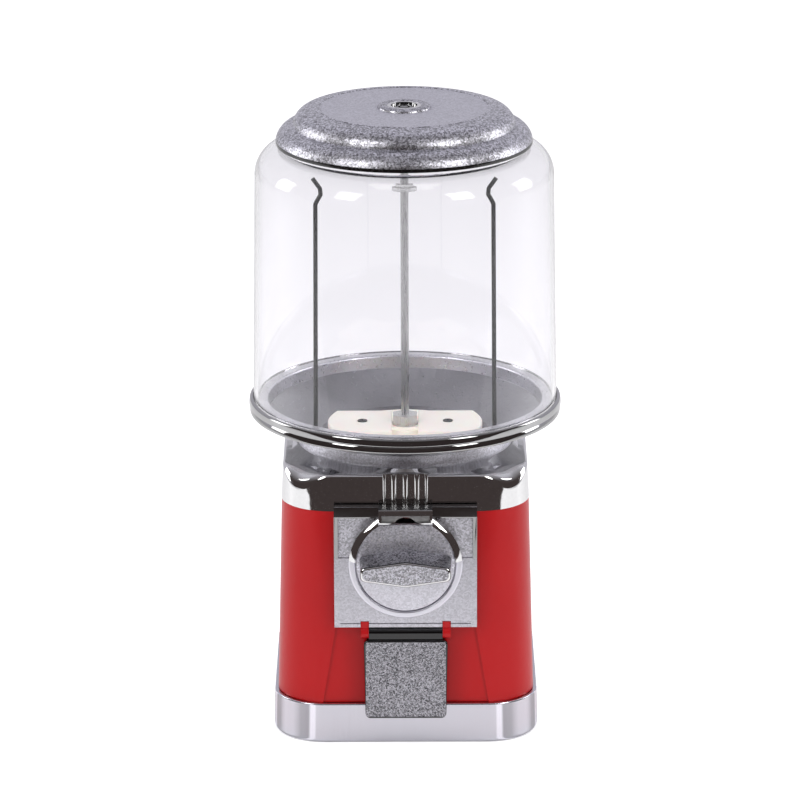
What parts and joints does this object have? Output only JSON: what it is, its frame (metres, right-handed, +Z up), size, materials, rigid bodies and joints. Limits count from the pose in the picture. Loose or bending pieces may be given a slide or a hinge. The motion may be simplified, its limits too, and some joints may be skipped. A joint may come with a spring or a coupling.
{
  "type": "capsule toy vendor",
  "caption": "Counter-top capsule toy vendor with clear globe, hand-turned coin mechanism, geared capsule wheel, delivery chute and hinged door on a square base.",
  "frame": {"origin": "centre of the square footprint, on the plane that the base skirt stands on", "axes": "+Z up through the globe and the centre rod; the front with the handle and the door looks along -Y; +X is to the right seen from the front"},
  "size_m": [0.2204, 0.2312, 0.4382],
  "materials": {
    "hammered_chrome": "hammered",
    "mirror_chrome": "polished",
    "satin_alloy": "satin",
    "cast_grey": "cast satin",
    "red_paint": "gloss powder coat",
    "clear_plastic": "clear moulded",
    "ivory_plastic": "moulded",
    "bristle": "matte",
    "steel": "brushed",
    "zinc_steel": "zinc plated",
    "dark_steel": "black oxide",
    "brass_gear": "machined",
    "rubber": "matte",
    "tray_plastic": "matte"
  },
  "bodies": {
    "housing": {"base_skirt": "satin_alloy", "base_plate": "zinc_steel", "base_screws": "zinc_steel", "rubber_feet": "rubber", "body_shell": "red_paint", "top_cap": "mirror_chrome", "hopper_skirt": "hammered_chrome", "hopper_ring": "mirror_chrome", "hopper_bowl": "cast_grey", "hopper_floor": "cast_grey", "globe_gasket": "rubber", "globe": "clear_plastic", "display_wires": "steel", "center_rod": "steel", "rod_collar": "zinc_steel", "rod_washer": "zinc_steel", "rod_nut": "zinc_steel", "wheel_bush": "zinc_steel", "hub_washer": "zinc_steel", "hub_nut": "zinc_steel", "wheel_guard": "ivory_plastic", "guard_screws": "dark_steel", "guard_brushes": "bristle", "mech_plate": "hammered_chrome", "border_frame": "mirror_chrome", "collar_hood": "mirror_chrome", "slot_housing": "mirror_chrome", "coin_guide": "mirror_chrome", "mech_back_plate": "zinc_steel", "shaft_bush": "brass_gear", "mech_standoffs": "zinc_steel", "mech_screws": "zinc_steel", "pawl_pin": "steel", "chute_tube": "tray_plastic", "chute_frame": "tray_plastic", "door_pin": "steel", "cash_tray": "tray_plastic"},
    "lid_assembly": {"lid": "hammered_chrome", "lid_seal": "rubber", "lock_flange": "hammered_chrome", "lock_body": "mirror_chrome", "lock_nut": "zinc_steel"},
    "lock_cylinder": {"lock_plug": "mirror_chrome"},
    "wheel": {"capsule_wheel": "ivory_plastic"},
    "handle_assembly": {"handle": "hammered_chrome", "handle_shaft": "steel", "coin_carrier": "zinc_steel", "ratchet_wheel": "zinc_steel", "drive_pinion": "brass_gear", "shaft_clip": "dark_steel"},
    "pawl": {"ratchet_pawl": "zinc_steel"},
    "door": {"chute_door": "hammered_chrome"}
  },
  "joints": [
    {"name": "handle_turn", "type": "hinge", "parent": "housing", "child": "handle_assembly", "pos_m": [0, -0.09, 0.134], "axis": [0, 1, 0], "continuous": true},
    {"name": "wheel_spin", "type": "hinge", "parent": "housing", "child": "wheel", "pos_m": [0, 0, 0.18], "axis": [0, 0, 1], "continuous": true},
    {"name": "door_swing", "type": "hinge", "parent": "housing", "child": "door", "pos_m": [0, -0.093, 0.0826], "axis": [-1, 0, 0], "range_deg": [0, 75]},
    {"name": "lid_lift", "type": "slide", "parent": "housing", "child": "lid_assembly", "axis": [0, 0, 1], "range_m": [0, 0.06]},
    {"name": "lock_turn", "type": "hinge", "parent": "lid_assembly", "child": "lock_cylinder", "pos_m": [0, 0, 0.433], "axis": [0, 0, 1], "range_deg": [0, 90]},
    {"name": "pawl_swing", "type": "hinge", "parent": "housing", "child": "pawl", "pos_m": [0.029, -0.0683, 0.148], "axis": [0, 1, 0], "range_deg": [-12, 0], "stiffness_Nm_per_rad": 0.05}
  ],
  "couplings": [
    {"joint": "wheel_spin", "follows": "handle_turn", "ratio": 0.5}
  ]
}
